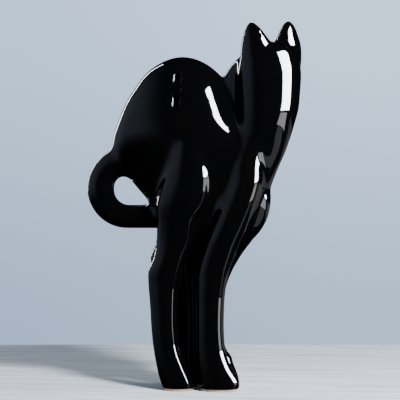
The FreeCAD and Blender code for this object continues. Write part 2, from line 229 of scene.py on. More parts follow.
def section(centre: Vector, across: Vector, beside: Vector) -> Matrix:
    """The matrix that lays a unit circle as an ellipse section.

    Args:
        centre: The section's middle.
        across: Half its first axis.
        beside: Half its second axis.

    Returns:
        A matrix in metres.
    """
    facing = across.cross(beside).normalized()
    matrix = Matrix.Identity(4)
    for column, axis in enumerate((across * MM, beside * MM, facing, centre * MM)):
        for row in range(3):
            matrix[row][column] = axis[row]
    return matrix


def loft(sections: list[Matrix], segments: int = 48) -> bmesh.types.BMesh:
    """Extrude a circle from section to section into a closed form.

    Args:
        sections: The matrices of the sections, in order.
        segments: How many sides the circle has.

    Returns:
        The closed form.
    """
    bm = bmesh.new()
    bmesh.ops.create_circle(bm, segments=segments, radius=1.0, matrix=sections[0])
    rim = list(bm.edges)
    bmesh.ops.contextual_create(bm, geom=rim)
    for before, after in zip(sections, sections[1:]):
        verts, rim = extrude_rim(bm, rim)
        bmesh.ops.transform(bm, matrix=after @ before.inverted(), verts=verts)
    bmesh.ops.contextual_create(bm, geom=rim)
    bmesh.ops.recalc_face_normals(bm, faces=bm.faces)
    return bm


# ---------------------------------------------------------------------------
# Finishes
# ---------------------------------------------------------------------------


@dataclass(frozen=True)
class BlackGlaze:
    """Black gloss glaze on fired clay: a deep wet black that mirrors the lights unevenly."""

    body: str = "#040405"
    thin: str = "#070504"
    roughness: float = 0.035
    pool_mm: float = 35.0
    wave_mm: float = 22.0
    peel_mm: float = 2.5

    def material(self) -> bpy.types.Material:
        """Build the material."""
        made, tree, place = new_material("black_gloss_glaze")
        # Where the glaze pooled or ran thin while it was molten, the black turns faintly brown.
        pool = add_node(
            tree,
            "ShaderNodeTexNoise",
            {"Vector": place, "Scale": 1 / (self.pool_mm * MM), "Detail": 3.0, "Roughness": 0.55},
        ).outputs["Fac"]
        thinness = add_node(
            tree, "ShaderNodeMapRange", {"Value": pool, "From Min": 0.45, "From Max": 0.8}
        ).outputs["Result"]
        colour = mix_colours(tree, thinness, to_linear(self.body), to_linear(self.thin))
        # The glaze surface: long soft waves from the flow, and a very fine orange peel.
        long_bump = add_node(
            tree,
            "ShaderNodeBump",
            {
                "Height": noise(tree, place, self.wave_mm, 1.0),
                "Strength": 0.25,
                "Distance": 0.25 * MM,
            },
        )
        fine_bump = add_node(
            tree,
            "ShaderNodeBump",
            {
                "Height": noise(tree, place, self.peel_mm, 2.0),
                "Strength": 0.10,
                "Distance": 0.02 * MM,
                "Normal": long_bump.outputs["Normal"],
            },
        )
        dull = add_node(
            tree,
            "ShaderNodeMapRange",
            {"Value": pool, "To Min": self.roughness * 0.6, "To Max": self.roughness * 1.6},
        )
        finish_material(
            tree,
            {
                "Base Color": colour,
                "Roughness": dull.outputs["Result"],
                "IOR": 1.55,
                "Normal": fine_bump.outputs["Normal"],
            },
        )
        return made


@dataclass(frozen=True)
class Bisque:
    """Bare fired clay where the feet were wiped: pale tan, matt, with a fine grain."""

    clay: str = "#c9ab92"
    burnt: str = "#8f6d55"
    stain_mm: float = 7.0
    grain_mm: float = 0.9

    def material(self) -> bpy.types.Material:
        """Build the material."""
        made, tree, place = new_material("bisque_clay")
        stain = noise(tree, place, self.stain_mm, 4.0)
        grain = noise(tree, place, self.grain_mm, 4.0)
        bump = add_node(
            tree, "ShaderNodeBump", {"Height": grain, "Strength": 0.5, "Distance": 0.15 * MM}
        )
        finish_material(
            tree,
            {
                "Base Color": mix_colours(
                    tree, stain, to_linear(self.clay), to_linear(self.burnt)
                ),
                "Roughness": 0.82,
                "Normal": bump.outputs["Normal"],
            },
        )
        return made


@dataclass(frozen=True)
class SoftPvc:
    """Moulded soft PVC of the stopper: dark grey, satin, with a faint haze."""

    tint: str = "#2b2b2d"
    haze: str = "#37373a"
    cloud_mm: float = 4.0

    def material(self) -> bpy.types.Material:
        """Build the material."""
        made, tree, place = new_material("soft_pvc")
        cloud = noise(tree, place, self.cloud_mm, 3.0)
        bump = add_node(
            tree, "ShaderNodeBump", {"Height": cloud, "Strength": 0.2, "Distance": 0.05 * MM}
        )
        finish_material(
            tree,
            {
                "Base Color": mix_colours(tree, cloud, to_linear(self.tint), to_linear(self.haze)),
                "Roughness": 0.45,
                "Normal": bump.outputs["Normal"],
            },
        )
        return made


@dataclass(frozen=True)
class WhitewashedBoards:
    """Table boards under worn white paint: pale, matt, streaked along the grain."""

    turn: float
    paint: str = "#e3ebf3"
    worn: str = "#b4babf"
    crack: str = "#7d8388"

    def material(self) -> bpy.types.Material:
        """Build the material."""
        made, tree, place = new_material("whitewashed_boards")
        grain = add_node(
            tree,
            "ShaderNodeMapping",
            {
                "Vector": place,
                "Rotation": (0, 0, math.radians(-self.turn)),
                "Scale": (5.0, 90.0, 1.0),
            },
        ).outputs["Vector"]
        streak = add_node(
            tree, "ShaderNodeTexNoise", {"Vector": grain, "Scale": 1.0, "Detail": 6.0}
        ).outputs["Fac"]
        scratch = add_node(
            tree,
            "ShaderNodeTexNoise",
            {"Vector": grain, "Scale": 1.7, "Detail": 3.0, "Distortion": 0.6},
        ).outputs["Fac"]
        wear = add_node(
            tree, "ShaderNodeMapRange", {"Value": streak, "From Min": 0.35, "From Max": 0.7}
        ).outputs["Result"]
        colour = mix_colours(tree, wear, to_linear(self.paint), to_linear(self.worn))
        gap = add_node(
            tree, "ShaderNodeMapRange", {"Value": scratch, "From Min": 0.66, "From Max": 0.72}
        ).outputs["Result"]
        cracked = mix_colours(tree, gap, colour, to_linear(self.crack))
        finish_material(tree, {"Base Color": cracked, "Roughness": 0.7})
        return made


# ---------------------------------------------------------------------------
# The forms that flow into the skin
# ---------------------------------------------------------------------------

UP = Vector((0, 0, 1))
AHEAD = Vector((1, 0, 0))
ASIDE = Vector((0, 1, 0))


class Side(Enum):
    """The cat's own right and left; the value is the sign of Y."""

    RIGHT = -1
    LEFT = 1


@dataclass
class Torso:
    """The humped body: upright ribs from the rump to the breastbone, round at both ends.

    Each rib has its place along X, its underside, its back and half its width.

    Attributes:
        rump: The hind end along X.
        breast: The front end along X.
        withers_slim: Share of the width that is lost where the hump meets the neck.
        withers_foot: Height below which the withers aren't slimmed.
        belly_slim: Share of the width that is lost below the flanks.
        belly_top: Height above which the belly isn't slimmed.
    """

    rump: float = -86.0
    breast: float = 79.0
    withers_slim: float = 0.72
    withers_foot: float = 243.0
    belly_slim: float = 0.22
    belly_top: float = 268.0
    ribs: list[tuple[float, ...]] = field(
        default_factory=lambda: [
            (-80, 224, 275, 16),
            (-66, 214, 304, 29),
            (-46, 190, 329, 38),
            (-14, 152, 342, 43.5),
            (20, 144, 329, 41.5),
            (45, 146, 297, 35),
            (63, 156, 258, 25),
            (74, 172, 222, 15),
        ]
    )

    def form(self) -> bmesh.types.BMesh:
        """Loft the torso, its ribs spaced so that both ends close like an egg."""
        middle = (self.rump + self.breast) / 2
        reach = (self.breast - self.rump) / 2
        rows = []
        for x, low, high, wide in self.ribs:
            angle = math.acos((middle - x) / reach)
            round_off = math.sin(angle)
            rows.append((angle, (low + high) / 2, (high - low) / 2 / round_off, wide / round_off))
        first = (0.03, rows[0][1], rows[0][2], rows[0][3])
        last = (math.pi - 0.03, rows[-1][1], rows[-1][2], rows[-1][3])
        sections = []
        for angle, height, tall, wide in through([first, *rows, last], 6):
            x = middle - reach * math.cos(angle)
            round_off = max(math.sin(angle), 0.02)
            sections.append(
                section(Vector((x, 0, height)), UP * tall * round_off, ASIDE * wide * round_off)
            )
        bm = loft(sections, 72)
        for vert in bm.verts:
            vert.co.y *= self.slimness(vert.co.x / MM, vert.co.z / MM)
        return bm

    def slimness(self, x: float, z: float) -> float:
        """How much narrower than its rib the torso is: at the withers, and below the flanks."""
        onset = 10 + (318 - z) * 0.30
        withers = ease((z - self.withers_foot) / 42) * ease((x - onset + 18) / 68)
        below = ease((self.belly_top - z) / 58)
        return 1 - self.withers_slim * withers - self.belly_slim * below


@dataclass
class NeckAndHead:
    """The neck and head: level ribs that lean forward and turn to the cat's right.

    Each rib has its height, its centre along X and Y, its half length and half width, and its turn.
    """

    keel_slim: float = 0.34
    ribs: list[tuple[float, ...]] = field(
        default_factory=lambda: [
            (165, 42, 0, 27, 28, 0),
            (180, 43, 0, 32, 33, 0),
            (192, 44, 0, 33.5, 35, 0),
            (205, 45.5, 0, 33, 30, 0),
            (225, 52, 0, 34, 27, 4),
            (245, 61, 0, 34, 28, 12),
            (265, 69.5, 0, 32, 31, 24),
            (285, 75, 0, 29.8, 34.5, 36),
            (306, 76.5, 0, 29, 36, 40),
            (325, 77.3, 0, 28.5, 36.5, 40),
            (338, 77.6, 0, 26, 34, 40),
            (347, 78.3, 0, 22, 28, 42),
            (353, 78.3, 0, 13, 19, 42),
            (356, 78.3, 0, 4, 7, 42),
        ]
    )

    def form(self) -> bmesh.types.BMesh:
        """Loft the neck and head."""
        sections = []
        for height, x, y, long, wide, turn in through(self.ribs, 5):
            facing, beside = level_axes(turn)
            sections.append(section(Vector((x, y, height)), facing * long, beside * wide))
        bm = loft(sections, 64)
        for vert in bm.verts:
            vert.co.y *= self.keel(vert.co.x / MM, vert.co.z / MM)
        return bm

    def keel(self, x: float, z: float) -> float:
        """How much narrower than an ellipse the chest and throat are towards their front."""
        ahead = ease((x - 48 - (z - 205) * 0.4) / 36)
        return 1 - self.keel_slim * ahead * ease((300 - z) / 45)


@dataclass
class Ear:
    """One ear: level ribs that shrink to a blunt tip. Its front faces where its twist says.

    Each rib has its height, its distance out from the head's middle, half its width and half its
    thickness.
    """

    side: Side
    twist: float
    ribs: list[tuple[float, ...]]
    middle: tuple[float, float] = (78.3, 0.0)
    turn: float = 42.0

    def form(self) -> bmesh.types.BMesh:
        """Loft the ear."""
        outward = level_axes(self.turn)[1] * self.side.value
        facing, beside = level_axes(self.twist)
        sections = []
        for height, out, wide, thick in through(self.ribs, 5):
            centre = Vector((*self.middle, height)) + outward * out
            sections.append(section(centre, beside * wide, facing * thick))
        return loft(sections, 40)


@dataclass
class TailLoop:
    """The tail: leaves the rump, drops round a closed loop and comes back to the thighs."""

    middle: tuple[float, float] = (-69.9, 206.0)
    radius: float = 29.1
    start: float = 70.0
    root: float = 19.0
    waist: float = 14.0
    tip: float = 12.2
    reach: float = -28.0

    def form(self) -> bmesh.types.BMesh:
        """Loft the tail round its loop, then along the straight run to its tip."""
        x0, z0 = self.middle
        path = []
        for step in range(33):
            share = step / 32
            angle = math.radians(self.start + (270 - self.start) * share)
            out = Vector((math.cos(angle), 0, math.sin(angle)))
            thick = self.waist + (self.root - self.waist) * max(0, 1 - share * 2.6) ** 1.5
            thick += (self.tip - self.waist) * max(0, share - 0.6) / 0.4
            path.append((Vector((x0, 0, z0)) + out * self.radius, out, thick))
        bottom = z0 - self.radius
        for step in range(1, 9):
            x = x0 + (self.reach - x0) * step / 8
            path.append((Vector((x, 0, bottom)), -UP, self.tip))
        return loft([section(at, out * thick, ASIDE * thick) for at, out, thick in path], 40)


@dataclass
class Leg:
    """One leg and its foot: level ribs from the floor into the body.

    Each rib has its height, its centre along X, half its length fore and aft, half its width, and
    how far its centre stands out from the middle.
    """

    side: Side
    ribs: list[tuple[float, ...]]

    def form(self) -> bmesh.types.BMesh:
        """Loft the leg."""
        sections = []
        for height, x, long, wide, out in through(self.ribs, 4):
            centre = Vector((x, out * self.side.value, height))
            sections.append(section(centre, AHEAD * long, ASIDE * wide))
        return loft(sections, 48)


# The ribs that both thighs share; they end in a rounded bulge high on the flank.
THIGH = [
    (190, -9, 27, 21, 23.5),
    (213, -4, 25, 20, 27),
    (232, -2, 21, 18, 29),
    (247, -2, 15.5, 14, 32.5),
    (255, -2, 10, 9.5, 34.5),
    (259, -2, 4, 4, 35),
]
HIND_NEAR = [
    (-1, -14.5, 13.5, 12.0, 16.5),
    (2, -14.5, 15.6, 13.6, 16.5),
    (6, -15, 16.8, 14.4, 16.5),
    (12, -17, 17, 14.5, 16.5),
    (22, -20.5, 16, 14.3, 16.5),
    (41, -26, 14, 14, 16.5),
    (62, -28.5, 13.8, 14, 16.5),
    (86, -29.3, 14.4, 14.2, 16.5),
    (108, -29.5, 16, 14.6, 16.5),
    (122, -27.5, 17.8, 15.5, 17),
    (136, -22, 17.5, 16.5, 18),
    (152, -17, 19.5, 18, 19),
    (170, -15, 21, 20, 20),
    *THIGH,
]
HIND_FAR = [
    (-1, -13.5, 13.5, 12.0, 16.5),
    (2, -13.5, 15.6, 13.6, 16.5),
    (6, -14, 16.8, 14.4, 16.5),
    (12, -15.5, 17, 14.5, 16.5),
    (22, -17, 16, 14.3, 16.5),
    (41, -19, 14, 14, 16.5),
    (62, -20, 13.8, 14, 16.5),
    (86, -20.5, 14.2, 14.2, 16.5),
    (105, -23.5, 15.5, 14.6, 16.5),
    (119, -28, 17.8, 15.5, 17),
    (134, -30.5, 18.8, 16.5, 18),
    (148, -25, 19.5, 18, 19),
    (170, -16, 22, 20, 20),
    *THIGH,
]
FORE_NEAR = [
    (-1, 27.5, 17.5, 12.0, 16.5),
    (2, 27.5, 19.8, 13.6, 16.5),
    (6, 27.8, 21, 14.4, 16.5),
    (12, 26.8, 20.8, 14.5, 16.5),
    (25, 22, 17.8, 14.3, 16.5),
    (41, 18.8, 15.4, 14, 16.5),
    (62, 17.8, 14.6, 14, 16.5),
    (86, 18, 14.8, 14, 16.5),
    (102, 18.6, 15.6, 14.3, 16.5),
    (120, 20.5, 17, 15, 16.5),
    (138, 26, 18, 16.5, 17.5),
    (152, 31.5, 18.5, 17.5, 19),
    (165, 37, 19, 18, 20),
    (180, 43, 19, 18, 20.5),
    (195, 49, 18.5, 18, 19.5),
    (212, 54, 17.5, 17, 18.5),
    (230, 55, 17, 16.5, 18),
    (245, 59, 16, 15.5, 17),
    (258, 65, 14.5, 14, 16),
    (268, 72, 9, 9, 15),
]
FORE_FAR = [
    (-1, 25.5, 16.5, 12.0, 16.5),
    (2, 25.3, 18.6, 13.6, 16.5),
    (6, 24.9, 19.6, 14.4, 16.5),
    (12, 23.6, 19.6, 14.5, 16.5),
    (24, 19.4, 18.9, 14.3, 16.5),
    (31, 18.0, 18.4, 14, 16.5),
    (38, 15.0, 16.2, 14, 16.5),
    (48, 13.2, 15.0, 14, 16.5),
    (62, 12.4, 14.6, 14, 16.5),
    (86, 12.6, 14.8, 14, 16.5),
    (102, 14, 16.3, 14.5, 16.5),
    (120, 18, 19, 15.5, 16.5),
    (138, 25, 22.5, 17, 17),
    (152, 32.5, 25.5, 18.5, 18),
    (165, 40.5, 27, 20, 18.5),
    (180, 48, 27, 21, 19),
    (195, 52, 24, 20, 18),
    (212, 54, 17, 15, 16),
]


@dataclass
class Nape:
    """The back of the neck, which flares from behind the ears down onto the withers."""

    ribs: list[tuple[float, ...]] = field(
        default_factory=lambda: [
            (292, 46, 20, 14),
            (310, 47, 18.5, 14),
            (322, 48.5, 17.5, 13),
            (332, 54, 16.5, 12),
            (342, 61, 13.5, 11),
            (350, 66, 8, 8),
        ]
    )

    def form(self) -> bmesh.types.BMesh:
        """Loft the nape; its ribs give height, centre along X, half length and half width."""
        sections = []
        for height, x, long, wide in through(self.ribs, 4):
            sections.append(section(Vector((x, 0, height)), AHEAD * long, ASIDE * wide))
        return loft(sections, 32)


@dataclass
class Web:
    """The clay between the legs, a rounded wall on the middle plane.

    It runs from just ahead of the hind legs into the fore legs, and leaves the hind legs apart.
    """

    thickness: float = 9.0
    rows: list[tuple[float, ...]] = field(
        default_factory=lambda: [
            (4, -4, 17),
            (30, -7, 16),
            (80, -7, 15),
            (130, -10, 20),
            (165, -8, 30),
        ]
    )

    def form(self) -> bmesh.types.BMesh:
        """Loft the wall from its foot up into the belly."""
        sections = []
        for height, back, front in through(self.rows, 4):
            centre = Vector(((back + front) / 2, 0, height))
            sections.append(
                section(centre, AHEAD * (front - back) / 2, ASIDE * self.thickness / 2)
            )
        return loft(sections, 32)


# ---------------------------------------------------------------------------
# The glazed skin
# ---------------------------------------------------------------------------


@dataclass
class Hollow:
    """The cast hollow inside the torso: the torso's own form, one wall thickness smaller."""

    wall: float = 6.0
    keep: tuple[float, float] = (-64.0, 62.0)

    def form(self) -> bmesh.types.BMesh:
        """Loft the hollow, its faces looking inwards."""
        outside = Torso()
        ribs = [
            (x, low + self.wall, high - self.wall, wide - self.wall)
            for x, low, high, wide in outside.ribs
            if self.keep[0] < x < self.keep[1]
        ]
        inside = Torso(rump=-70, breast=68, ribs=ribs).form()
        bmesh.ops.reverse_faces(inside, faces=inside.faces)
        return inside


@dataclass
class Skin:
    """The whole glazed surface: forms run together, smoothed and cut off level at the soles.

    Attributes:
        voxel: Grid size at which the forms are run together.
        smoothing: How often the whole surface is relaxed.
        filling: How often creases alone are filled, the way slip is sponged into a joint.
        glaze_line: Height at which the glaze ends above the soles.
    """

    voxel: float = 1.4
    smoothing: int = 6
    filling: int = 90
    glaze_line: float = 2.5

    def forms(self) -> list[bmesh.types.BMesh]:
        """Model every form of the cat."""
        right_ear = [
            (318, 17, 17, 17),
            (335, 18, 17.7, 17),
            (347, 18.8, 16.5, 15.5),
            (355, 19.8, 14.8, 13),
            (362, 22, 11.4, 9.5),
            (367, 23.5, 8.8, 7),
            (371, 25, 5.7, 4.6),
            (374, 25.8, 2.6, 2.2),
        ]
        left_ear = [
            (318, 19, 16, 16),
            (335, 20.5, 18.2, 16.5),
            (347, 22.5, 18.9, 14.5),
            (356, 24.3, 17.4, 12),
            (364, 25, 14.5, 9),
            (371, 25.5, 11.3, 6.5),
            (376, 25.8, 7.3, 4.2),
            (379.4, 26, 2.9, 2),
        ]
        return [
            Torso().form(),
            NeckAndHead().form(),
            Ear(Side.RIGHT, 60, right_ear).form(),
            Ear(Side.LEFT, 28, left_ear).form(),
            TailLoop().form(),
            Leg(Side.RIGHT, HIND_NEAR).form(),
            Leg(Side.LEFT, HIND_FAR).form(),
            Leg(Side.RIGHT, FORE_NEAR).form(),
            Leg(Side.LEFT, FORE_FAR).form(),
            Nape().form(),
            EmptyingHole().collar(),
        ]

    def run_together(self) -> bpy.types.Mesh:
        """Run the forms together into one closed surface."""
        whole = bmesh.new()
        for form in self.forms():
            part = mesh_from(form, "form")
            whole.from_mesh(part)
            bpy.data.meshes.remove(part)
        rough = new_object("rough", mesh_from(whole, "rough"))
        remesh = rough.modifiers.new("run_together", "REMESH")
        remesh.mode = "VOXEL"
        remesh.voxel_size = self.voxel * MM
        graph = bpy.context.evaluated_depsgraph_get()
        made = bpy.data.meshes.new_from_object(rough.evaluated_get(graph))
        bpy.data.objects.remove(rough)
        return made

    def sponge(self, mesh: bpy.types.Mesh) -> None:
        """Relax the surface, then fill only its creases, so that forms blend and none shrinks.

        Args:
            mesh: The closed surface, changed in place.
        """
        count = len(mesh.vertices)
        place = np.empty(count * 3)
        mesh.vertices.foreach_get("co", place)
        place = place.reshape(-1, 3)
        edges = np.empty(len(mesh.edges) * 2, int)
        mesh.edges.foreach_get("vertices", edges)
        one, two = edges.reshape(-1, 2).T
        valence = np.bincount(one, minlength=count) + np.bincount(two, minlength=count)

        def pull(at: np.ndarray) -> np.ndarray:
            """How far each vertex is from the middle of its neighbours."""
            total = np.empty_like(at)
            for axis in range(3):
                total[:, axis] = np.bincount(one, at[two, axis], count)
                total[:, axis] += np.bincount(two, at[one, axis], count)
            return total / valence[:, None] - at

        for _ in range(self.smoothing):
            place += 0.5 * pull(place)
        for step in range(self.filling):
            if step % 10 == 0:
                mesh.vertices.foreach_set("co", place.ravel())
                mesh.update()
                facing = np.empty(count * 3)
                mesh.vertex_normals.foreach_get("vector", facing)
                facing = facing.reshape(-1, 3)
                height = place[:, 2] / MM
                soft = np.clip((height - 60) / 120, 0.12, 1.0)
                ears = np.clip((352 - height) / 12, 0.35, 1.0)
                notch = np.hypot(place[:, 0] / MM - 40, (height - 300) * 0.8) / 30
                strength = 0.6 * soft * ears * np.clip(notch, 0.35, 1.0)
            lift = (pull(place) * facing).sum(axis=1)
            place += (np.clip(lift, 0, None) * strength)[:, None] * facing
        for _ in range(2):
            place += 0.5 * pull(place)
        mesh.vertices.foreach_set("co", place.ravel())
        mesh.update()

    def build(self) -> dict[str, bpy.types.Object]:
        """Build the skin and part it into its clay pieces.

        Returns:
            The pieces by node name, in metres, ending level at the glaze line above the soles.
        """
        mesh = self.run_together()
        self.sponge(mesh)
        bm = bmesh.new()
        bm.from_mesh(mesh)
        cut = bmesh.ops.bisect_plane(
            bm,
            geom=list(bm.verts) + list(bm.edges) + list(bm.faces),
            plane_co=(0, 0, self.glaze_line * MM),
            plane_no=(0, 0, -1),
            clear_outer=True,
        )
        rims = [item for item in cut["geom_cut"] if isinstance(item, bmesh.types.BMEdge)]
        bmesh.ops.edgeloop_fill(bm, edges=rims)
        bmesh.ops.recalc_face_normals(bm, faces=bm.faces)
        bm.to_mesh(mesh)
        self.whole = BVHTree.FromBMesh(bm)
        bm.verts.ensure_lookup_table()
        bm.faces.ensure_lookup_table()
        self.corners = [[vert.index for vert in face.verts] for face in bm.faces]
        self.places = [vert.co.copy() for vert in bm.verts]
        self.facings = [vert.normal.copy() for vert in bm.verts]
        for place, facing, applies in SEAMS:
            faces = [face for face in bm.faces if applies(face.calc_center_median() / MM)]
            near = {vert for face in faces for vert in face.verts}
            edges = {edge for face in faces for edge in face.edges}
            bmesh.ops.bisect_plane(
                bm,
                geom=list(near) + list(edges) + faces,
                plane_co=Vector(place) * MM,
                plane_no=Vector(facing),
                dist=1e-7,
            )
        pieces = {}
        for node in {region(face.calc_center_median() / MM) for face in bm.faces}:
            part = bm.copy()
            others = [f for f in part.faces if region(f.calc_center_median() / MM) != node]
            bmesh.ops.delete(part, geom=others, context="FACES")
            for face in part.faces:
                face.material_index = 0
            open_edges = [edge for edge in part.edges if edge.is_boundary]
            for face in bmesh.ops.holes_fill(part, edges=open_edges, sides=0)["faces"]:
                face.material_index = 1
            bmesh.ops.triangulate(part, faces=[f for f in part.faces if len(f.verts) > 4])
            bmesh.ops.recalc_face_normals(part, faces=part.faces)
            pieces[node] = new_object(f"{node}_glazed", mesh_from(part, node))
        bm.free()
        log.info("skin: %d pieces", len(pieces))
        return pieces

    def glaze_normals(self, piece: bpy.types.Object) -> None:
        """Give a piece the whole skin's shading, so that the glaze runs over its seams.

        Args:
            piece: A piece of the skin. Faces that don't lie in the skin keep their own shading.
        """
        mesh = piece.data
        for polygon in mesh.polygons:
            polygon.use_smooth = True
        shading = {}
        for vert in mesh.vertices:
            _, _, face, gap = self.whole.find_nearest(vert.co)
            if gap < SKIN_REACH * MM:
                facing = Vector((0, 0, 0))
                for corner in self.corners[face]:
                    reach = (self.places[corner] - vert.co).length
                    facing += self.facings[corner] / (reach + 1e-7)
                shading[vert.index] = facing.normalized()
        normals = []
        for polygon in mesh.polygons:
            for index in polygon.vertices:
                facing = shading.get(index)
                lies_in = facing is not None and facing.dot(polygon.normal) > SKIN_MATCH
                lies_in = lies_in and polygon.material_index == 0
                normals.append(facing if lies_in else Vector((0, 0, 0)))
        mesh.normals_split_custom_set(normals)

    def carve(self, torso: bpy.types.Object) -> None:
        """Hollow the torso and cut its coin slot and emptying hole."""
        hollow = Hollow().form()
        for face in hollow.faces:
            face.material_index = 1
        bm = bmesh.new()
        bm.from_mesh(torso.data)
        bm.from_mesh(mesh_from(hollow, "hollow"))
        bm.to_mesh(torso.data)
        bm.free()
        for cutter in (CoinSlot().cutter(self.whole), EmptyingHole().cutter()):
            tool = new_object("cutter", mesh_from(cutter, "cutter"))
            cut = torso.modifiers.new("cut", "BOOLEAN")
            cut.operation = "DIFFERENCE"
            cut.solver = "EXACT"
            cut.object = tool
            graph = bpy.context.evaluated_depsgraph_get()
            made = bpy.data.meshes.new_from_object(torso.evaluated_get(graph))
            torso.modifiers.clear()
            torso.data = made
            bpy.data.objects.remove(tool)


@dataclass
class CoinSlot:
    """The coin slot in the right flank, with a rounded glazed lip that follows the flank."""

    x: float = -13.5
    z: float = 305.0
    length: float = 36.0
    width: float = 6.0
    lip: float = 1.4
    depth: float = 12.0

    def cutter(self, flank: BVHTree) -> bmesh.types.BMesh:
        """The form to cut away: rings that shrink over the lip, then run straight in.

        Args:
            flank: The glazed surface that the lip follows.

        Returns:
            The closed form.
        """
        steps = [(self.lip + 0.5, -1.5)]
        for degrees in range(14, 91, 12):
            angle = math.radians(degrees)
            steps.append((self.lip * (1 - math.sin(angle)), self.lip * (1 - math.cos(angle))))
        steps.append((0.0, self.depth))
        bm = bmesh.new()
        radius = self.width / 2 * MM
        bmesh.ops.create_circle(
            bm,
            segments=48,
            radius=radius,
            matrix=Matrix.Rotation(math.radians(90), 4, "X")
            @ Matrix.Rotation(math.radians(3.75), 4, "Z"),
        )
        run = (self.length - self.width) / 2 * MM
        for vert in bm.verts:
            vert.co.z += math.copysign(run, vert.co.z)
        rim = list(bm.edges)
        outline = [vert.co.copy() for vert in bm.verts]
        verts = list(bm.verts)
        for number, (outset, depth) in enumerate(steps):
            if number:
                verts, rim = extrude_rim(bm, rim)
            for vert, base in zip(verts, outline):
                middle = Vector((0, 0, math.copysign(run, base.z)))
                side = (base - middle).normalized()
                at = base + side * outset * MM + Vector((self.x, 0, self.z)) * MM
                hit = flank.ray_cast(Vector((at.x, -0.2, at.z)), ASIDE)[0]
                vert.co = Vector((at.x, hit.y + depth * MM, at.z))
            if not number:
                bmesh.ops.contextual_create(bm, geom=rim)
        bmesh.ops.contextual_create(bm, geom=rim)
        bmesh.ops.recalc_face_normals(bm, faces=bm.faces)
        return bm


@dataclass
class EmptyingHole:
    """The round hole in the left flank through which the coins come out."""

    x: float = -4.0
    z: float = 272.0
    radius: float = 15.3
    seat: float = 18.4
    seat_level: float = 41.2

    def rings(self, steps: list[tuple[float, float]], segments: int = 64) -> bmesh.types.BMesh:
        """A form turned round the hole's axis from distances along Y and radii."""
        middle = Vector((self.x, 0, self.z))
        return loft(
            [section(middle + ASIDE * y, UP * r, AHEAD * r) for y, r in steps], segments
        )

    def cutter(self) -> bmesh.types.BMesh:
        """The form to cut away: the hole and the flat seat round it."""
        steps = [
            (22, self.radius),
            (self.seat_level - 0.8, self.radius),
            (self.seat_level, self.radius + 0.8),
            (self.seat_level, self.seat),
            (self.seat_level + 1.2, self.seat + 0.3),
            (self.seat_level + 2.4, self.seat + 1.6),
            (60, self.seat + 1.7),
        ]
        return self.rings(steps)

    def collar(self) -> bmesh.types.BMesh:
        """The thickened rim of clay that carries the seat."""
        steps = [(30, 28), (38, 26.5), (42, 24.5), (43.8, 20.5)]
        return self.rings(steps)


@dataclass
class StopperPlug:
    """The soft stopper: a ribbed plug and a cap with a raised rim and a nub to pull."""

    hole: EmptyingHole = field(default_factory=EmptyingHole)

    def build(self) -> bpy.types.Object:
        """Model the stopper."""
        steps = [(28.4, 12.5), (28.8, 13.6), (30.0, 14.7)]
        for rib in (32.0, 35.0, 38.0):
            steps += [(rib - 0.9, 14.6), (rib, 15.1), (rib + 0.9, 14.6)]
        steps += [(41.2, 14.6), (41.25, 16.8), (41.5, 17.7), (42.1, 18.0), (43.0, 17.8)]
        steps += [(43.5, 17.2), (43.6, 16.2), (43.2, 15.4), (42.7, 14.9), (42.6, 13.8)]
        steps += [(42.6, 5.2), (42.8, 4.5), (43.4, 4.1), (43.75, 3.3), (43.8, 1.2)]
        bm = self.hole.rings(steps, 72)
        plug = new_object("stopper_plug", mesh_from(bm, "stopper_plug"))
        smooth_sides(plug, all_faces=True)
        return plug


@dataclass
class Sole:
    """The wiped, unglazed underside of one foot; it stands on the floor."""

    node: str
    side: Side
    middle: float
    long: float
    wide: float
    top: float = 3.0

    def build(self) -> bpy.types.Object:
        """Model the sole: a shallow pad with a worn lower edge."""
        steps = [(0, 0.9), (0.25, 0.35), (0.8, 0.0), (self.top, 0.0)]
        rings = []
        for height, inset in steps:
            centre = Vector((self.middle, FOOT_OUT * self.side.value, height))
            rings.append(
                section(centre, AHEAD * (self.long - inset), ASIDE * (self.wide - inset))
            )
        pad = new_object(f"{self.node}_clay", mesh_from(loft(rings, 64), self.node))
        smooth_sides(pad)
        return pad


def in_front_of_withers(x: float, z: float) -> bool:
    """Whether a point lies ahead of the seam between the hump and the neck."""
    (px, _, pz), (nx, _, nz) = WITHERS_SEAM
    return nx * (x - px) + nz * (z - pz) > 0


def behind_rump(x: float, z: float) -> bool:
    """Whether a point lies behind the seam at the tail's root."""
    (px, _, pz), (nx, _, nz) = RUMP_SEAM
    return nx * (x - px) + nz * (z - pz) < 0


def region(at: Vector) -> str:
    """Which clay piece a point of the skin belongs to.

    Args:
        at: The point, in millimetres.

    Returns:
        The piece's node name.
    """
    x, y, z = at
    if z > EAR_ROOT:
        turn = math.radians(HEAD_TURN)
        left = (x - HEAD_MIDDLE) * math.sin(turn) + y * math.cos(turn) > 0
        return "left_ear" if left else "right_ear"
    if z > NECK_ROOT and in_front_of_withers(x, z):
        return "head" if z > JAW else "neck"
    if z > LEG_TOP:
        tail = behind_rump(x, z) if z > TAIL_ROOT else x < TAIL_TIP
        return "tail_loop" if tail else "torso_shell"
    side = "left" if y > 0 else "right"
    ahead = x > LEGS_PART if z > PASTERN else x > FEET_PART - z * FEET_SLOPE
    return f"{side}_{'fore' if ahead else 'hind'}_leg"


# Where the clay pieces meet: heights, places along X, and two slanting seams as point and facing.
EAR_ROOT = 356
JAW = 262
NECK_ROOT = 205
TAIL_ROOT = 215
LEG_TOP = 150
PASTERN = 50
TAIL_TIP = -50
LEGS_PART = -6
FEET_PART = 4.8
FEET_SLOPE = 0.216
HEAD_MIDDLE = 78.3
HEAD_TURN = 42
WITHERS_SEAM = ((47, 0, 268), (54, 0, 16))
RUMP_SEAM = ((-84, 0, 258), (41, 0, 13))

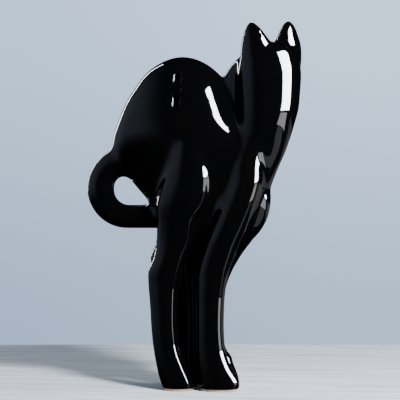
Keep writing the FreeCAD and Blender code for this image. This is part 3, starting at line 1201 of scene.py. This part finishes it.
# A point on each seam, the seam's facing, and which part of the skin it crosses.
SEAMS = [
    ((0, 0, EAR_ROOT), (0, 0, 1), lambda at: at.z > 340),
    ((0, 0, JAW), (0, 0, 1), lambda at: at.x > 35 and at.z > 250),
    ((0, 0, NECK_ROOT), (0, 0, 1), lambda at: at.x > 35 and at.z > 190),
    (*WITHERS_SEAM, lambda at: at.z > 200),
    (*RUMP_SEAM, lambda at: at.z > 210),
    ((TAIL_TIP, 0, 0), (1, 0, 0), lambda at: LEG_TOP < at.z < 216),
    ((0, 0, TAIL_ROOT), (0, 0, 1), lambda at: at.x < -55),
    ((0, 0, LEG_TOP), (0, 0, 1), lambda at: 140 < at.z < 160),
    ((0, 0, 0), (0, 1, 0), lambda at: at.z < 150.01),
    ((0, 0, PASTERN), (0, 0, 1), lambda at: 40 < at.z < 60),
    ((LEGS_PART, 0, 0), (1, 0, 0), lambda at: 49.99 < at.z < 150.01),
    ((FEET_PART, 0, 0), (1, 0, FEET_SLOPE), lambda at: at.z < 50.01),
]


# ---------------------------------------------------------------------------
# The stage
# ---------------------------------------------------------------------------


@dataclass
class Studio:
    """Pale table top, pale blue-grey surroundings, soft lights and the camera."""

    azimuth: float = 8.0
    distance: float = 1400.0
    eye: float = 194.0
    frame_height: float = 413.0
    table_reach: float = 420.0
    daylight: str = "#f6f9ff"
    backdrop_gain: float = 1.60
    high: str = "#c8dffb"
    low: str = "#a1b7d2"
    left: str = "#e6eaf0"
    soft: str = "#7f8b97"
    room: str = "#030304"
    room_left: str = "#8c98a8"
    room_back: str = "#6c7784"

    def camera(self) -> None:
        """Put the camera level at half the cat's height."""
        angle = math.radians(self.azimuth)
        lens = bpy.data.cameras.new("camera")
        lens.sensor_width = 36
        lens.lens = 36 * self.distance / self.frame_height
        lens.clip_start = 0.05
        camera = bpy.data.objects.new("camera", lens)
        bpy.context.scene.collection.objects.link(camera)
        back = Vector((math.sin(angle), -math.cos(angle), 0))
        right = Vector((math.cos(angle), math.sin(angle), 0))
        target = right * 5.5 * MM + UP * self.eye * MM
        camera.location = target + back * self.distance * MM
        camera.rotation_euler = (math.radians(90), 0, angle)
        bpy.context.scene.camera = camera

    def table(self) -> None:
        """A pale table top of whitewashed boards, square to the camera."""
        bm = bmesh.new()
        bmesh.ops.create_cube(
            bm,
            size=1.0,
            matrix=Matrix.Rotation(math.radians(self.azimuth), 4, "Z")
            @ Matrix.Translation((0, 0, -15 * MM))
            @ Matrix.Diagonal((3.0, 2 * self.table_reach * MM, 30 * MM, 1)),
        )
        top = new_object("table_top", mesh_from(bm, "table_top"))
        top.data.materials.append(WhitewashedBoards(self.azimuth).material())
        # The table is left out of the glaze's reflections, where it shows as broad grey patches
        # on the thighs and legs. This is a choice of the stage, and real glaze would mirror it.
        top.visible_glossy = False

    def light(
        self, name: str, place: tuple, size: tuple, power: float, mirrored: bool = True
    ) -> None:
        """Add a rectangular softbox that faces the cat's middle.

        Args:
            name: The light's name.
            place: Degrees to the right of the camera, degrees above the cat's middle, and how far
                away in millimetres.
            size: Its width and height, in millimetres.
            power: Its power in watts.
            mirrored: If set, it shows in the glaze and lights nothing else; if not, it lights the
                scene and doesn't show in the glaze.
        """
        lamp = bpy.data.lights.new(name, "AREA")
        lamp.shape = "RECTANGLE"
        lamp.size = size[0] * MM
        lamp.size_y = size[1] * MM
        lamp.energy = power
        lamp.color = to_linear(self.daylight)[:3]
        thing = bpy.data.objects.new(name, lamp)
        bpy.context.scene.collection.objects.link(thing)
        round_right, above, away = place
        bearing = math.radians(self.azimuth + round_right)
        rise = math.radians(above)
        level = Vector((math.sin(bearing), -math.cos(bearing), 0)) * math.cos(rise)
        thing.location = (level + UP * math.sin(rise)) * away * MM + UP * self.eye * MM
        aim = UP * self.eye * MM - thing.location
        thing.rotation_euler = aim.to_track_quat("-Z", "Y").to_euler()
        thing.visible_camera = False
        thing.visible_glossy = mirrored
        thing.visible_diffuse = not mirrored

    def surroundings(self) -> None:
        """A pale blue-grey backdrop for the camera, and a dark room for the glaze to mirror."""
        world = bpy.data.worlds.new("studio")
        world.use_nodes = True
        bpy.context.scene.world = world
        tree = world.node_tree
        tree.nodes.clear()
        ray = add_node(tree, "ShaderNodeTexCoord").outputs["Generated"]

        def towards(round_right: float) -> bpy.types.NodeSocket:
            """How far a ray points to a bearing, given in degrees to the right of the camera."""
            bearing = math.radians(self.azimuth + round_right)
            axis = (math.sin(bearing), -math.cos(bearing), 0)
            return add_node(
                tree, "ShaderNodeVectorMath", {0: ray, 1: axis}, operation="DOT_PRODUCT"
            ).outputs["Value"]

        def share(value: bpy.types.NodeSocket, low: float, high: float) -> bpy.types.NodeSocket:
            """A smooth step from 0 to 1 between two values."""
            return add_node(
                tree,
                "ShaderNodeMapRange",
                {"Value": value, "From Min": low, "From Max": high},
                interpolation_type="SMOOTHSTEP",
            ).outputs["Result"]

        height = add_node(tree, "ShaderNodeSeparateXYZ", {0: ray}).outputs["Z"]
        left_wall = share(towards(-92), 0.4, 0.95)
        room = mix_colours(tree, left_wall, to_linear(self.room), to_linear(self.room_left))
        mirrored = mix_colours(
            tree, share(towards(180), 0.90, 0.97), room, to_linear(self.room_back)
        )
        floor = share(height, 0.12, -0.4)
        mirrored = mix_colours(tree, floor, mirrored, to_linear(self.room))
        sky = share(height, -0.12, 0.15)
        upright = mix_colours(tree, sky, to_linear(self.low), to_linear(self.high))
        across = share(towards(90), -0.20, 0.14)
        backdrop = mix_colours(tree, across, to_linear(self.left), (1, 1, 1, 1))
        tinted = add_node(
            tree,
            "ShaderNodeMix",
            {"Factor": 1.0, 6: upright, 7: backdrop},
            data_type="RGBA",
            blend_type="MULTIPLY",
        ).outputs[2]
        path = add_node(tree, "ShaderNodeLightPath")
        lit = mix_colours(tree, path.outputs["Is Glossy Ray"], to_linear(self.soft), mirrored)
        both = mix_colours(tree, path.outputs["Is Camera Ray"], lit, tinted)
        strength = add_node(
            tree,
            "ShaderNodeMapRange",
            {"Value": path.outputs["Is Camera Ray"], "To Min": 1.0, "To Max": self.backdrop_gain},
        ).outputs["Result"]
        glow = add_node(tree, "ShaderNodeBackground", {"Color": both, "Strength": strength})
        add_node(tree, "ShaderNodeOutputWorld", {"Surface": glow.outputs["Background"]})

    def build(self) -> None:
        """Set the stage."""
        self.camera()
        self.table()
        self.surroundings()
        self.light("softbox_right", (80, 23, 1150), (560, 1060), 220)
        self.light("strip_low", (78, -9, 1150), (400, 230), 1.4)
        self.light("strip_floor", (78, -31, 1150), (230, 640), 0.3)
        self.light("board_low", (124, -12, 1150), (900, 300), 0.35)
        self.light("rim_back_left", (-145, 26, 1100), (50, 1100), 5.5)
        self.light("table_key", (34, 36, 1500), (260, 260), 68, mirrored=False)


def main() -> None:
    """Build the cat, dress it and set the stage."""
    glaze = BlackGlaze().material()
    clay = Bisque().material()
    skin = Skin()
    pieces = skin.build()
    skin.carve(pieces["torso_shell"])
    for node, piece in pieces.items():
        skin.glaze_normals(piece)
        piece.data.materials.clear()
        piece.data.materials.append(glaze)
        piece.data.materials.append(clay)
        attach(piece, CERAMIC)
        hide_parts(node)
        log.info("%s: %d faces", piece.name, len(piece.data.polygons))
    soles = [
        Sole("right_hind_sole", Side.RIGHT, -14.6, 14.8, 12.8),
        Sole("left_hind_sole", Side.LEFT, -13.6, 14.8, 12.8),
        Sole("right_fore_sole", Side.RIGHT, 27.6, 19.0, 12.8),
        Sole("left_fore_sole", Side.LEFT, 25.3, 17.8, 12.8),
    ]
    for sole in soles:
        pad = sole.build()
        pad.data.materials.append(clay)
        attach(pad, CERAMIC)
        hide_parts(sole.node)
        log.info("%s: %d faces", pad.name, len(pad.data.polygons))
    plug = StopperPlug().build()
    plug.data.materials.append(SoftPvc().material())
    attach(plug, PLUG)
    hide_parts("stopper")
    web = new_object("leg_web_glazed", mesh_from(Web().form(), "leg_web"))
    smooth_sides(web)
    web.data.materials.append(glaze)
    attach(web, CERAMIC)
    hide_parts("leg_web")
    Studio().build()


if __name__ == "__main__":
    main()
